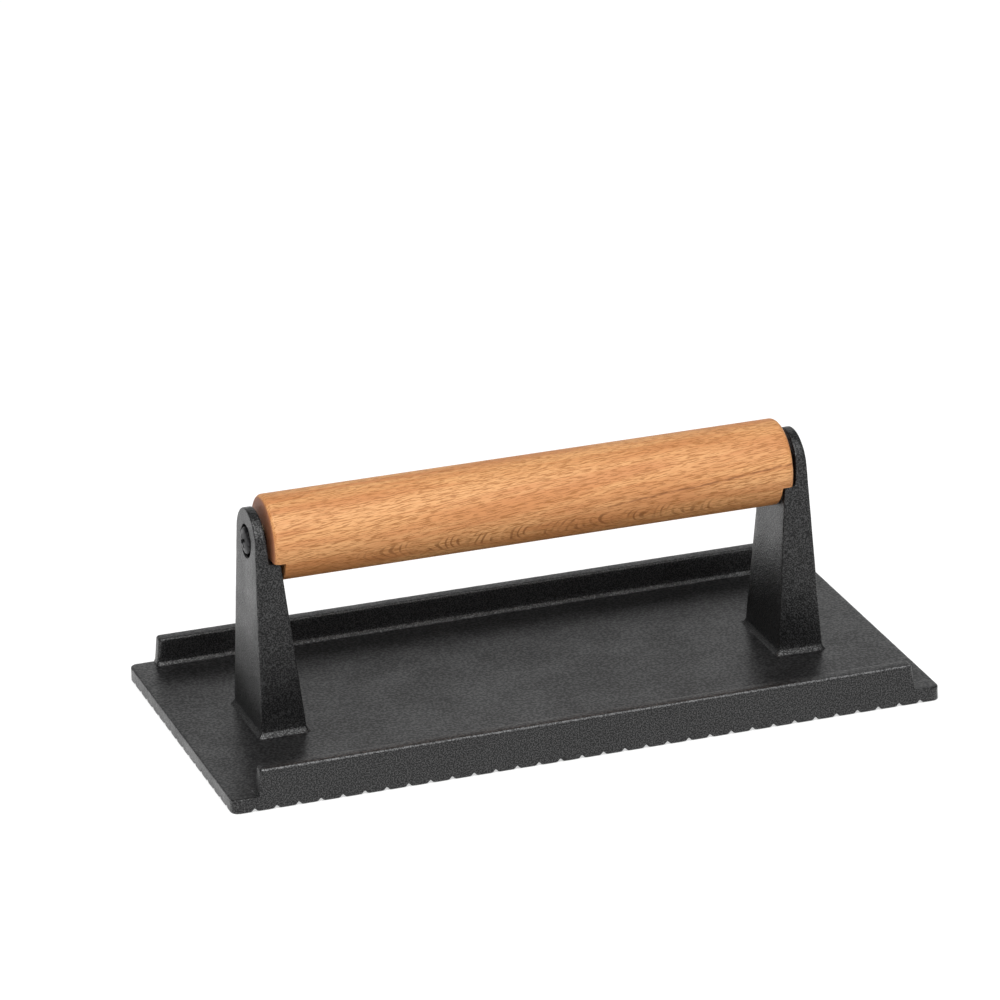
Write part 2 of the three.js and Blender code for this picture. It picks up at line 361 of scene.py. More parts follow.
def plate():
    groove_share = GROOVE_HALF_WIDTH / PAD_PITCH
    along = pad_lines(PADS_ALONG, groove_share, fine_shares)
    across = pad_lines(PADS_ACROSS, groove_share, fine_shares)
    per_pad = len(fine_shares(groove_share))
    kept_on_top = (0, 3, 4, 5, 6, 7)
    patches = Patches()

    def corner_of(u, v, inset, z):
        x, y = outline_point(u, v, inset + PLATE_SIDE_INSET)
        return (x, y, z)

    def sole_point(u, v):
        x, y = outline_point(u, v, PLATE_SIDE_INSET)
        return (x, y, sole_height(x, y))

    patches.grid([[sole_point(u, v) for v in across] for u in along])
    rim = (
        [(u, -1.0) for u in along[:-1]]
        + [(1.0, v) for v in across[:-1]]
        + [(u, 1.0) for u in reversed(along[1:])]
        + [(-1.0, v) for v in reversed(across[1:])]
    )
    rows = [[sole_point(u, v) for u, v in rim]]
    for height in PLATE_SIDE_LEVELS:
        rows.append([corner_of(u, v, 0, height) for u, v in rim])
    for angle in quarter_arc(4):
        inset = PLATE_EDGE_ROUNDING * (1 - math.cos(angle))
        z = PLATE_TOP - PLATE_EDGE_ROUNDING * (1 - math.sin(angle))
        rows.append([corner_of(u, v, inset, z) for u, v in rim])
    patches.grid(rows, closed=True)

    # The top has fewer lines, so its outermost faces take in the rim's extra points.
    columns = [k for k in range(len(along)) if k % per_pad in kept_on_top]
    lanes = [k for k in range(len(across)) if k % per_pad in kept_on_top]

    def top(i, j):
        return corner_of(along[i], across[j], PLATE_EDGE_ROUNDING, PLATE_TOP)

    for i0, i1 in zip(columns, columns[1:]):
        for j0, j1 in zip(lanes, lanes[1:]):
            first = range(i0, i1) if j0 == 0 else (i0,)
            second = range(j0, j1) if i1 == len(along) - 1 else (j0,)
            third = range(i1, i0, -1) if j1 == len(across) - 1 else (i1,)
            fourth = range(j1, j0, -1) if i0 == 0 else (j1,)
            patches.polygon(
                [top(i, j0) for i in first]
                + [top(i1, j) for j in second]
                + [top(i, j1) for i in third]
                + [top(i0, j) for j in fourth]
            )
    return patches.piece("base_casting_body")


def block_ring(level, counts):
    """A closed ring round a box with rounded corners. level is (z, x0, x1, y0, y1, radius)."""
    z, x0, x1, y0, y1, radius = level
    along, across, corner = counts
    ring = []
    centres = (
        (x1 - radius, y0 + radius, -QUARTER_TURN),
        (x1 - radius, y1 - radius, 0.0),
        (x0 + radius, y1 - radius, QUARTER_TURN),
        (x0 + radius, y0 + radius, 2 * QUARTER_TURN),
    )
    for index, (cx, cy, start) in enumerate(centres):
        for angle in quarter_arc(corner, start, start + QUARTER_TURN):
            ring.append((cx + radius * math.cos(angle), cy + radius * math.sin(angle), z))
        last = ring[-1]
        next_x, next_y, next_start = centres[(index + 1) % 4]
        goal = (
            next_x + radius * math.cos(next_start),
            next_y + radius * math.sin(next_start),
        )
        steps = across if index % 2 == 0 else along
        for k in range(1, steps):
            share = k / steps
            ring.append(
                (
                    last[0] + (goal[0] - last[0]) * share,
                    last[1] + (goal[1] - last[1]) * share,
                    z,
                )
            )
    return ring


def foot_curve(height, flare):
    """The hollow foot of a ridge or post as (rise, outset) pairs, steep above and shallower below."""
    steps = 6
    return [(height * k / steps, flare * (1 - k / steps) ** 1.5) for k in range(steps + 1)]


def ridge():
    """The rear ridge: its outer face is flush with the plate's edge, its inner foot is filleted."""
    outer = PLATE_HALF_WIDTH
    inner = outer - RIDGE_WIDTH
    foot = PLATE_HALF_LENGTH - RIDGE_END_INSET
    top = PLATE_TOP + RIDGE_HEIGHT

    def level(z, outset, outer_inset, radius):
        rise = max(z - PLATE_TOP, 0) / RIDGE_HEIGHT
        half = foot - RIDGE_END_DRAFT * rise + outset * (RIDGE_END_FLARE if outset > 0 else 1)
        return (z, -half, half, inner - outset, outer - outer_inset, radius)

    fillet = RIDGE_FOOT_FILLET
    rounding = RIDGE_TOP_ROUNDING
    flare = RIDGE_FOOT_FLARE
    levels = [
        level(PLATE_TOP / 2, flare, 0, RIDGE_CORNER),
        level(PLATE_TOP - FOOT_RING, flare, 0, RIDGE_CORNER),
    ]
    for rise, outset in foot_curve(fillet, flare):
        levels.append(level(PLATE_TOP + rise, outset, 0, RIDGE_CORNER))
    low = PLATE_TOP + fillet
    high = top - rounding
    steps = 5
    for k in range(1, steps):
        levels.append(level(low + (high - low) * k / steps, 0, 0, RIDGE_CORNER))
    for angle in quarter_arc(5):
        inset = rounding * (1 - math.cos(angle))
        z = top - rounding * (1 - math.sin(angle))
        levels.append(level(z, -inset, inset, RIDGE_CORNER - 0.9 * inset))
    counts = (120, 3, 4)  # steps along, across and round each corner
    patches = Patches()
    patches.grid([block_ring(entry, counts) for entry in levels], closed=True)
    patches.polygon(block_ring(levels[0], counts))
    cap_over(patches, block_ring(levels[-1], counts), counts)
    return patches.piece("ridge_rear")


def cap_over(patches, ring, counts):
    """Closes a block's ring with one strip of faces for each step along it."""
    along, across, corner = counts
    # Ring order: corner, across side, corner, along side, corner, across side, corner, along side.
    right_start = 0
    rear_start = corner + across
    left_start = rear_start + corner + along
    front_start = left_start + corner + across
    rear = ring[rear_start + corner : left_start + 1]
    front = (ring + ring)[front_start + corner : front_start + corner + along + 1]
    front = list(reversed(front))
    patches.grid([rear, front])
    right = ring[right_start : rear_start + corner + 1]
    patches.polygon(right)
    patches.polygon(ring[left_start : front_start + corner + 1])


def post_paths():
    """The right-hand post's side view as rows of (inner x, inner z, outer x, outer z, outset)."""
    drop = AXIS_HEIGHT - PLATE_TOP
    outer_slope = (POST_OUTER_AT_AXIS - POST_OUTER_FOOT) / drop
    inner_slope = (POST_INNER_AT_SHOULDER - POST_INNER_FOOT) / (SHOULDER_HEIGHT - PLATE_TOP)

    def outer(z):
        return POST_OUTER_FOOT + outer_slope * (z - PLATE_TOP)

    def inner(z):
        return POST_INNER_FOOT + inner_slope * (z - PLATE_TOP)

    fillet = POST_FOOT_FILLET
    flare = POST_FOOT_FLARE
    rows = []

    def straight(z, outset=0.0):
        rows.append((inner(z) - outset, z, outer(z) + outset, z, outset))

    straight(PLATE_TOP / 2, flare)
    straight(PLATE_TOP - FOOT_RING, flare)
    for rise, outset in foot_curve(fillet, flare):
        straight(PLATE_TOP + rise, outset)
    low = PLATE_TOP + fillet
    rounding = POST_EDGE_ROUNDING
    high = SHOULDER_HEIGHT - rounding
    steps = 30
    for k in range(1, steps + 1):
        straight(low + (high - low) * k / steps)
    # Over the shoulder: its rounded edge, the ledge, the fillet at the ear, all beside one stretch
    # of the outer face.
    edge = inner(high)
    turn = [
        (edge + rounding * (1 - math.cos(angle)), high + rounding * math.sin(angle))
        for angle in quarter_arc(3)[1:]
    ]
    ledge_end = EAR_INNER - rounding
    turn += [((turn[-1][0] + ledge_end) / 2, SHOULDER_HEIGHT), (ledge_end, SHOULDER_HEIGHT)]
    turn += [
        (ledge_end + rounding * math.sin(angle), SHOULDER_HEIGHT + rounding * (1 - math.cos(angle)))
        for angle in quarter_arc(3)[1:]
    ]
    last = turn[-1][1]
    for k, (x, z) in enumerate(turn):
        beside = high + (last - high) * (k + 1) / len(turn)
        rows.append((x, z, outer(beside), beside, 0.0))
    tangent = tangent_height()
    steps = 4
    for k in range(1, steps + 1):
        z = last + (tangent - last) * k / steps
        rows.append((ear_inner(z), z, outer(z), z, 0.0))
    return rows, outer


def ear_inner(z):
    """The ear's inner face, which leans out a little from the shoulder up."""
    share = (z - SHOULDER_HEIGHT) / (EAR_CENTRE + EAR_RADIUS - SHOULDER_HEIGHT)
    return EAR_INNER + EAR_INNER_DRAFT * share


def tangent_height():
    return EAR_CENTRE + EAR_RADIUS * math.sin(tangent_angle())


def tangent_angle():
    """Where the post's straight side meets the ear's round top, as an angle on the round."""
    drop = EAR_CENTRE - PLATE_TOP
    reach = math.hypot(POST_HALF_WIDTH_FOOT, drop)
    return math.acos(EAR_RADIUS / reach) - math.atan2(drop, POST_HALF_WIDTH_FOOT)


def half_width_at(z):
    """Half the post's width in the front view, below the ear's round top."""
    angle = tangent_angle()
    touch_y = EAR_RADIUS * math.cos(angle)
    touch_z = EAR_CENTRE + EAR_RADIUS * math.sin(angle)
    share = (touch_z - z) / (touch_z - PLATE_TOP)
    return touch_y + (POST_HALF_WIDTH_FOOT - touch_y) * share


def post():
    """The right-hand post as one closed skin: two faces, the walls between them and their edges."""
    rows, outer = post_paths()
    rounding = POST_EDGE_ROUNDING
    columns = [-1 + 2 * k / 16 for k in range(17)]
    arc = quarter_arc(4)
    wall_steps = 8
    cap_rows = 8
    touch = tangent_angle()

    def cap_point(column, share, radius):
        """A point of the ear's round top, mapped from a square of columns and shares."""
        spread = radius * math.cos(touch)
        rise = radius * (1 - math.sin(touch))
        y = column * math.sqrt(1 - share**2 / 2)
        z = share * math.sqrt(1 - column**2 / 2)
        base = EAR_CENTRE + EAR_RADIUS * math.sin(touch)
        return spread * y, base + rise * z

    def skin(x_of, z_of):
        """Points of one face, row by row; x is None on the round top, where the face gives it."""
        grid = []
        for row in rows:
            x, z = x_of(row), z_of(row)
            reach = half_width_at(z) - rounding
            grid.append([(x, column * reach, z) for column in columns])
        for k in range(1, cap_rows + 1):
            line = []
            for column in columns:
                y, z = cap_point(column, k / cap_rows, EAR_RADIUS - rounding)
                line.append((None, y, z))
            grid.append(line)
        return grid

    inner_skin = [
        [(ear_inner(z) if x is None else x, y, z) for x, y, z in line]
        for line in skin(lambda r: r[0], lambda r: r[1])
    ]
    outer_skin = [
        [(outer(z) if x is None else x, y, z) for x, y, z in line]
        for line in skin(lambda r: r[2], lambda r: r[3])
    ]

    def wall(inner_line, outer_line, normals, outsets):
        """The rounded edge, the wall and the other rounded edge, between two boundary lines."""
        strips = []
        for a, b, normal, outset in zip(inner_line, outer_line, normals, outsets):
            radius = rounding + outset
            strip = []
            for angle in arc:
                push = radius * math.sin(angle)
                back = radius * (1 - math.cos(angle))
                strip.append((a[0] + back, a[1] + push * normal[0], a[2] + push * normal[1]))
            start = strip[-1]
            end_x = b[0] - radius
            end = (end_x, b[1] + radius * normal[0], b[2] + radius * normal[1])
            for k in range(1, wall_steps):
                share = k / wall_steps
                strip.append(tuple(p + (q - p) * share for p, q in zip(start, end)))
            for angle in reversed(arc):
                push = radius * math.sin(angle)
                back = radius * (1 - math.cos(angle))
                strip.append((b[0] - back, b[1] + push * normal[0], b[2] + push * normal[1]))
            strips.append(strip)
        return strips

    patches = Patches()
    patches.grid(inner_skin)
    patches.grid(outer_skin)
    straight = len(rows)
    outsets = [row[4] for row in rows] + [0.0] * cap_rows
    for side in (0, -1):
        sign = -1 if side == 0 else 1
        inner_line = [line[side] for line in inner_skin]
        outer_line = [line[side] for line in outer_skin]
        normals = [(sign, 0.0)] * straight + [
            unit(line[side][1], line[side][2] - EAR_CENTRE) for line in inner_skin[straight:]
        ]
        patches.grid(wall(inner_line, outer_line, normals, outsets))
    crest_normals = [unit(p[1], p[2] - EAR_CENTRE) for p in inner_skin[-1]]
    patches.grid(wall(inner_skin[-1], outer_skin[-1], crest_normals, [0.0] * len(columns)))
    base_left = wall([inner_skin[0][0]], [outer_skin[0][0]], [(-1, 0.0)], [rows[0][4]])[0]
    base_right = wall([inner_skin[0][-1]], [outer_skin[0][-1]], [(1, 0.0)], [rows[0][4]])[0]
    base = inner_skin[0][1:-1] + base_right + list(reversed(outer_skin[0][1:-1]))
    patches.polygon(base + list(reversed(base_left)))
    return patches.piece("post_right")


def unit(y, z):
    length = math.hypot(y, z)
    return y / length, z / length


def screw_hole():
    """The right-hand ear's stepped hole, with a softened rim."""
    rim = RECESS_RIM
    face = POST_OUTER_AT_AXIS
    beyond = face + OVERCUT
    profile = [
        [0, EAR_INNER - OVERCUT],
        [SCREW_HOLE_RADIUS, EAR_INNER - OVERCUT],
        [SCREW_HOLE_RADIUS, RECESS_FLOOR],
        [RECESS_RADIUS - rim, RECESS_FLOOR],
        [RECESS_RADIUS, RECESS_FLOOR + rim],
        [RECESS_RADIUS, face - rim],
    ]
    for angle in quarter_arc(4)[1:]:
        profile.append(
            [RECESS_RADIUS + rim * (1 - math.cos(angle)), face - rim * (1 - math.sin(angle))]
        )
    profile += [[RECESS_RADIUS + rim, beyond], [0, beyond]]
    return turned("screw_hole", profile)


def roughened(piece, amplitude, grain):
    """Presses a casting skin into a piece: each vertex moves in along its normal by a noise."""
    mesh = piece.data
    normals = [v.normal.copy() for v in mesh.vertices]
    offset = Vector((3.7, 0, 0))  # picks the part of the endless noise that is used
    for vertex, normal in zip(mesh.vertices, normals):
        place = vertex.co / grain + offset
        height = noise.noise(place) + 0.5 * noise.noise(place * 2.3)
        vertex.co -= normal * amplitude * (0.5 + 0.45 * max(-1.0, min(1.0, height)))
    mesh.update()


def base_casting():
    body = plate()
    rear = ridge()
    front = turned_copy(rear, "ridge_front")
    right = post()
    hole_right = screw_hole()
    left = turned_copy(right, "post_left")
    hole_left = turned_copy(hole_right, "screw_hole_left")
    combined(body, [rear, front, right, left], "UNION")
    combined(body, [hole_right, hole_left], "DIFFERENCE")
    roughened(body, SKIN_ROUGHNESS, SKIN_GRAIN)
    return smooth(body)


# ---------------------------------------------------------------- the handle


def handle():
    rounding = HANDLE_END_ROUNDING
    shoulder = HANDLE_HALF_LENGTH - rounding
    collar = HANDLE_RADIUS - rounding
    stations = 80
    profile = [[0, -HANDLE_HALF_LENGTH]]
    for share in (0.35, 0.7):
        profile.append([collar * share, -HANDLE_HALF_LENGTH])
    for angle in quarter_arc(8):
        profile.append([collar + rounding * math.sin(angle), -shoulder - rounding * math.cos(angle)])
    for k in range(1, stations):
        profile.append([HANDLE_RADIUS, -shoulder + 2 * shoulder * k / stations])
    for angle in reversed(quarter_arc(8)):
        profile.append([collar + rounding * math.sin(angle), shoulder + rounding * math.cos(angle)])
    for share in (0.7, 0.35):
        profile.append([collar * share, HANDLE_HALF_LENGTH])
    profile.append([0, HANDLE_HALF_LENGTH])
    body = turned("handle_body", profile, segments=128)
    notch_right = notch()
    socket_right = socket()
    cutters = [
        notch_right,
        turned_copy(notch_right, "notch_left"),
        socket_right,
        turned_copy(socket_right, "socket_left"),
    ]
    combined(body, cutters, "DIFFERENCE")
    return smooth(body, math.radians(35))


def notch():
    """The step cut from the handle's lower right end, with a small inner corner radius."""
    x0 = HANDLE_HALF_LENGTH - NOTCH_DEPTH
    x1 = HANDLE_HALF_LENGTH + OVERCUT
    z0 = AXIS_HEIGHT - HANDLE_RADIUS - OVERCUT
    z1 = AXIS_HEIGHT - NOTCH_DROP
    radius = NOTCH_ROUNDING
    outline = [(x1, z0), (x1, z1)]
    for angle in quarter_arc(3, QUARTER_TURN, 2 * QUARTER_TURN):
        outline.append((x0 + radius + radius * math.cos(angle), z1 - radius + radius * math.sin(angle)))
    outline.append((x0, z0))
    reach = HANDLE_RADIUS + OVERCUT
    patches = Patches()
    front = [(x, -reach, z) for x, z in outline]
    rear = [(x, reach, z) for x, z in outline]
    patches.grid([front, rear], closed=True)
    patches.polygon(front)
    patches.polygon(rear)
    return patches.piece("notch_right")


def socket():
    start = HANDLE_HALF_LENGTH - SOCKET_DEPTH
    end = HANDLE_HALF_LENGTH + OVERCUT
    profile = [[0, start], [SOCKET_RADIUS, start], [SOCKET_RADIUS, end], [0, end]]
    return turned("socket_right", profile, segments=64)


# ---------------------------------------------------------------- the fasteners


def screw():
    """The right-hand screw: a domed head with a cross recess over a threaded shank."""
    tip = screw_low.x
    start = HEAD_SEAT - SCREW_NECK
    stations = round((start - tip) / (SCREW_PITCH / 8))
    rise = HEAD_HEIGHT - HEAD_RIM
    dome = (HEAD_RADIUS**2 + rise**2) / (2 * rise)
    centre = HEAD_SEAT + HEAD_HEIGHT - dome
    edge = HEAD_EDGE_ROUNDING
    profile = [[0, tip], [SCREW_RADIUS - 2 * SCREW_THREAD_DEPTH, tip]]
    for k in range(1, stations + 1):
        x = tip + (start - tip) * k / stations
        profile.append([min(SCREW_RADIUS, SCREW_RADIUS - SCREW_THREAD_DEPTH + x - tip), x])
    profile += [[SCREW_RADIUS, HEAD_SEAT], [HEAD_RADIUS - edge, HEAD_SEAT]]
    profile += [[HEAD_RADIUS, HEAD_SEAT + edge], [HEAD_RADIUS, HEAD_SEAT + HEAD_RIM - edge]]
    steps = 12
    for k in range(1, steps):
        radius = HEAD_RADIUS * (1 - k / steps)
        profile.append([radius, centre + math.sqrt(dome**2 - radius**2)])
    profile.append([0, HEAD_SEAT + HEAD_HEIGHT])

    def thread(radius, x, angle):
        if tip < x <= start:
            return radius - SCREW_THREAD_DEPTH * (1 - ridge_of_thread(x, angle, SCREW_PITCH))
        return radius

    body = turned("screw_body", profile, segments=64, thread=thread)
    wings = [cross_wing(CROSS_TURN), cross_wing(CROSS_TURN + QUARTER_TURN)]
    combined(body, wings, "DIFFERENCE")
    return smooth(body, math.radians(30))


def cross_wing(turn):
    """One wing of the cross recess: it narrows and shortens inwards."""
    top = HEAD_SEAT + HEAD_HEIGHT
    levels = (
        (top + 0.5 * MM, 1.15, 1.1),
        (top - 0.4 * CROSS_DEPTH, 0.85, 0.9),
        (top - CROSS_DEPTH, 0.35, 0.6),
    )
    patches = Patches()
    rings = []
    for x, long, wide in levels:
        ring = []
        for along, across in SQUARE:
            y = along * long * CROSS_LENGTH / 2
            z = across * wide * CROSS_WIDTH / 2
            ring.append(
                (
                    x,
                    y * math.cos(turn) - z * math.sin(turn),
                    AXIS_HEIGHT + y * math.sin(turn) + z * math.cos(turn),
                )
            )
        rings.append(ring)
    patches.grid(rings, closed=True)
    patches.polygon(rings[0])
    patches.polygon(rings[-1])
    return patches.piece("cross_wing")


def split_washer():
    """The right-hand spring washer: a bevelled ring with a slanted slit."""
    bevel = WASHER_BEVEL
    x0, x1 = washer_low.x, washer_high.x
    section = (
        (WASHER_INNER + bevel, x0),
        (WASHER_OUTER - bevel, x0),
        (WASHER_OUTER, x0 + bevel),
        (WASHER_OUTER, x1 - bevel),
        (WASHER_OUTER - bevel, x1),
        (WASHER_INNER + bevel, x1),
        (WASHER_INNER, x1 - bevel),
        (WASHER_INNER, x0 + bevel),
    )
    steps = 96
    rows = []
    for k in range(steps + 1):
        turn = WASHER_SPLIT / 2 + (2 * math.pi - WASHER_SPLIT) * k / steps
        slant = 0.5 * WASHER_SPLIT * abs(1 - 2 * k / steps) ** 8
        rows.append(
            [
                around_axis(x, radius, turn + slant * (2 * (x - x0) / (x1 - x0) - 1))
                for radius, x in section
            ]
        )
    patches = Patches()
    patches.grid(rows, closed=True)
    patches.polygon(rows[0])
    patches.polygon(rows[-1])
    return smooth(patches.piece("washer_body"), math.radians(30))


def threaded_insert():
    """The right-hand insert: a coarse thread outside, a fine one in its bore, a slotted end."""
    inner, outer = insert_low.x, insert_high.x
    stations = round((outer - inner) / (SCREW_PITCH / 4))
    along = [inner + (outer - inner) * k / stations for k in range(stations + 1)]
    profile = [[INSERT_BORE, x] for x in reversed(along)]
    profile += [[INSERT_RADIUS, x] for x in along]
    middle = (INSERT_BORE + INSERT_RADIUS) / 2

    def thread(radius, x, angle):
        if radius < middle:
            return radius + INSERT_BORE_THREAD * ridge_of_thread(x, angle, SCREW_PITCH)
        crest = ridge_of_thread(x, angle, INSERT_PITCH)
        return radius - INSERT_RIB_DEPTH * min(1.0, 1.6 * (1 - crest))

    body = turned("insert_body", profile, segments=64, thread=thread)
    slot = Patches()
    reach = INSERT_RADIUS + OVERCUT
    rings = [
        [
            (x, along_slot * reach, AXIS_HEIGHT + side * INSERT_SLOT / 2)
            for along_slot, side in SQUARE
        ]
        for x in (outer - INSERT_SLOT_DEPTH, outer + OVERCUT)
    ]
    slot.grid(rings, closed=True)
    slot.polygon(rings[0])
    slot.polygon(rings[1])
    combined(body, [slot.piece("insert_slot")], "DIFFERENCE")
    return smooth(body, math.radians(30))


# ---------------------------------------------------------------- materials


def new_material(name):
    material = bpy.data.materials.new(name)
    material.use_nodes = True
    tree = material.node_tree
    return material, tree, tree.nodes["Principled BSDF"]


class Nodes:
    """Short names for adding linked nodes to one material. An input is a socket or a plain value."""

    def __init__(self, tree):
        self.tree = tree
        self.place = tree.nodes.new("ShaderNodeTexCoord").outputs["Object"]

    def link(self, source, socket):
        if isinstance(source, bpy.types.NodeSocket):
            self.tree.links.new(source, socket)
        else:
            socket.default_value = source

    def stretched(self, factors, turn):
        """Places in a frame turned by turn, in which a pattern comes out longer by the factors."""
        node = self.tree.nodes.new("ShaderNodeMapping")
        node.vector_type = "TEXTURE"
        self.link(self.place, node.inputs["Vector"])
        node.inputs["Scale"].default_value = factors
        node.inputs["Rotation"].default_value = turn
        return node.outputs["Vector"]

    def upward(self):
        """How far the surface faces up: 1 on a level top, 0 on an upright wall."""
        parts = self.tree.nodes.new("ShaderNodeSeparateXYZ")
        geometry = self.tree.nodes.new("ShaderNodeNewGeometry")
        self.link(geometry.outputs["Normal"], parts.inputs["Vector"])
        return parts.outputs["Z"]

    def axes(self):
        """The place's own X, Y and Z."""
        parts = self.tree.nodes.new("ShaderNodeSeparateXYZ")
        self.link(self.place, parts.inputs["Vector"])
        return parts.outputs["X"], parts.outputs["Y"], parts.outputs["Z"]

    def noise(self, size, detail=2.0, roughness=0.5, vector=None, distortion=0.0):
        """Noise whose features are about size across."""
        node = self.tree.nodes.new("ShaderNodeTexNoise")
        self.link(vector or self.place, node.inputs["Vector"])
        node.inputs["Scale"].default_value = 1 / size
        node.inputs["Detail"].default_value = detail
        node.inputs["Roughness"].default_value = roughness
        node.inputs["Distortion"].default_value = distortion
        return node.outputs["Fac"]

    def span(self, value, from_low, from_high, to_low=0.0, to_high=1.0):
        """Stretches a value's range, clamped and eased."""
        node = self.tree.nodes.new("ShaderNodeMapRange")
        node.interpolation_type = "SMOOTHSTEP"
        self.link(value, node.inputs["Value"])
        node.inputs["From Min"].default_value = from_low
        node.inputs["From Max"].default_value = from_high
        node.inputs["To Min"].default_value = to_low
        node.inputs["To Max"].default_value = to_high
        return node.outputs["Result"]

    def product(self, *factors):
        """All the factors multiplied together."""
        result = factors[0]
        for factor in factors[1:]:
            result = self.maths("MULTIPLY", result, factor)
        return result

    def maths(self, operation, a, b=0.0):
        node = self.tree.nodes.new("ShaderNodeMath")
        node.operation = operation
        self.link(a, node.inputs[0])
        self.link(b, node.inputs[1])
        return node.outputs["Value"]

    def blend(self, factor, a, b):
        node = self.tree.nodes.new("ShaderNodeMix")
        node.data_type = "RGBA"
        self.link(factor, node.inputs["Factor"])
        for value, name in ((a, "A"), (b, "B")):
            grey = isinstance(value, float)
            self.link((value, value, value, 1) if grey else value, node.inputs[name])
        return node.outputs["Result"]

    def bump(self, height, distance, strength):
        node = self.tree.nodes.new("ShaderNodeBump")
        self.link(height, node.inputs["Height"])
        node.inputs["Distance"].default_value = distance
        self.link(strength, node.inputs["Strength"])
        return node.outputs["Normal"]


def cast_iron():
    """Black casting skin: fine sharp grain on the walls, a softer orange peel on level faces, and
    a painted highlight: a brighter line along the ridges' outer top edges."""
    material, tree, shader = new_material("seasoned_cast_iron")
    nodes = Nodes(tree)
    dark = (0.003, 0.003, 0.0032, 1)
    light = (0.013, 0.013, 0.0133, 1)
    # the light grey of the painted highlight on the ridges' outer top edges
    painted_highlight_grey = (0.11, 0.11, 0.112, 1)
    level = nodes.span(nodes.upward(), 0.85, 0.98)
    sand = nodes.noise(0.38 * MM, detail=1)
    peel = nodes.noise(0.8 * MM, detail=2, roughness=0.6)
    pebbles = nodes.noise(1.3 * MM, detail=1)
    blotches = nodes.noise(14 * MM, detail=2)
    grains = nodes.blend(level, nodes.blend(0.35, sand, pebbles), peel)
    specks = nodes.span(nodes.blend(level, sand, peel), 0.38, 0.68)
    strength = nodes.blend(level, nodes.span(blotches, 0.3, 0.7, 0.7, 1.0), 0.3)
    nodes.link(nodes.bump(grains, 0.24 * MM, strength), shader.inputs["Normal"])
    # painted highlight: a light grey line along each ridge's outer top edge, standing in for light
    # caught on its rounding
    painted_highlight_mask = nodes.product(rim_of_ridges(nodes), nodes.span(sand, 0.4, 0.6, 0.3, 1))
    colour = nodes.blend(specks, dark, light)
    colour = nodes.blend(painted_highlight_mask, colour, painted_highlight_grey)
    nodes.link(colour, shader.inputs["Base Color"])
    nodes.link(nodes.span(specks, 0, 1, 0.3, 0.87), shader.inputs["Specular IOR Level"])
    nodes.link(nodes.span(blotches, 0.3, 0.7, 0.3, 0.4), shader.inputs["Roughness"])
    return material


def rim_of_ridges(nodes):
    """1 along the outer top edge of each ridge, where a highlight is painted, 0 elsewhere."""
    _, y, z = nodes.axes()
    top = PLATE_TOP + RIDGE_HEIGHT
    across = nodes.maths("ABSOLUTE", y)
    outer = nodes.span(across, PLATE_HALF_WIDTH - 0.65 * MM, PLATE_HALF_WIDTH - 0.35 * MM)
    high = nodes.span(z, top - 0.75 * MM, top - 0.35 * MM)
    return nodes.product(outer, high)


def beech():
    """Oiled beech: soft bands, fine fibres and short dark flecks, all at a slight tilt, with growth
    marks on the front and darker end grain."""
    material, tree, shader = new_material("oiled_beech")
    nodes = Nodes(tree)
    grain_run = (0, -0.075, 0.03)  # the fibres' tilt against the handle, in radians
    bands = nodes.noise(
        3.2 * MM, detail=3, vector=nodes.stretched((22, 1, 1.6), grain_run), distortion=0.4
    )
    fibres = nodes.noise(0.3 * MM, detail=2, vector=nodes.stretched((20, 1, 1), grain_run))
    flecks = nodes.noise(0.24 * MM, detail=1, vector=nodes.stretched((14, 1, 1), grain_run))
    streaks = nodes.noise(0.7 * MM, detail=2, vector=nodes.stretched((16, 1, 1), grain_run))
    pale = (0.65, 0.328, 0.128, 1)
    warm = (0.53, 0.22, 0.075, 1)
    dark = (0.31, 0.112, 0.02, 1)
    ring = (0.2, 0.066, 0.013, 1)
    end_grain = (0.3, 0.115, 0.055, 1)
    colour = nodes.blend(nodes.span(bands, 0.38, 0.62), pale, warm)
    colour = nodes.blend(nodes.span(fibres, 0.4, 0.75, 0, 0.5), colour, warm)
    fleck_mask = nodes.span(flecks, 0.5, 0.62, 0, 0.78)
    colour = nodes.blend(fleck_mask, colour, dark)
    colour = nodes.blend(nodes.span(streaks, 0.62, 0.74, 0, 0.6), colour, dark)
    marks = nodes.maths("MAXIMUM", crescents(nodes), growth_line(nodes))
    colour = nodes.blend(marks, colour, ring)
    x, _, _ = nodes.axes()
    ends = nodes.span(
        nodes.maths("ABSOLUTE", x), HANDLE_HALF_LENGTH - 0.4 * MM, HANDLE_HALF_LENGTH - 0.05 * MM
    )
    colour = nodes.blend(ends, colour, end_grain)
    nodes.link(colour, shader.inputs["Base Color"])
    nodes.link(nodes.span(fibres, 0.3, 0.7, 0.5, 0.62), shader.inputs["Roughness"])
    height = nodes.maths("SUBTRACT", nodes.product(fibres, 0.4), fleck_mask)
    nodes.link(nodes.bump(height, 0.06 * MM, 0.8), shader.inputs["Normal"])
    return material


def crescents(nodes):
    """Nested dark crescents in a row low on the handle's front, where a growth ring is cut."""
    x, y, z = nodes.axes()
    above = nodes.maths("SUBTRACT", z, CRESCENT_HEIGHT)
    bend = nodes.product(above, above, CRESCENT_BEND)
    wobble = nodes.product(nodes.noise(9 * MM, detail=1), 8 * MM)
    along = nodes.maths("ADD", nodes.maths("SUBTRACT", x, bend), wobble)
    wave = nodes.maths("SINE", nodes.product(along, 2 * math.pi / CRESCENT_SPACING))
    arcs = nodes.span(wave, 0.1, 0.9)
    row = nodes.span(nodes.maths("ABSOLUTE", above), 1.4 * MM, 2.9 * MM, 1, 0)
    start = nodes.span(x, -60 * MM, -40 * MM)
    end = nodes.span(x, 45 * MM, 66 * MM, 1, 0)
    clusters = nodes.span(nodes.noise(5 * MM, detail=2), 0.42, 0.62, 0.12, 0.7)
    return nodes.product(arcs, clusters, row, front_half(nodes, y), start, end)


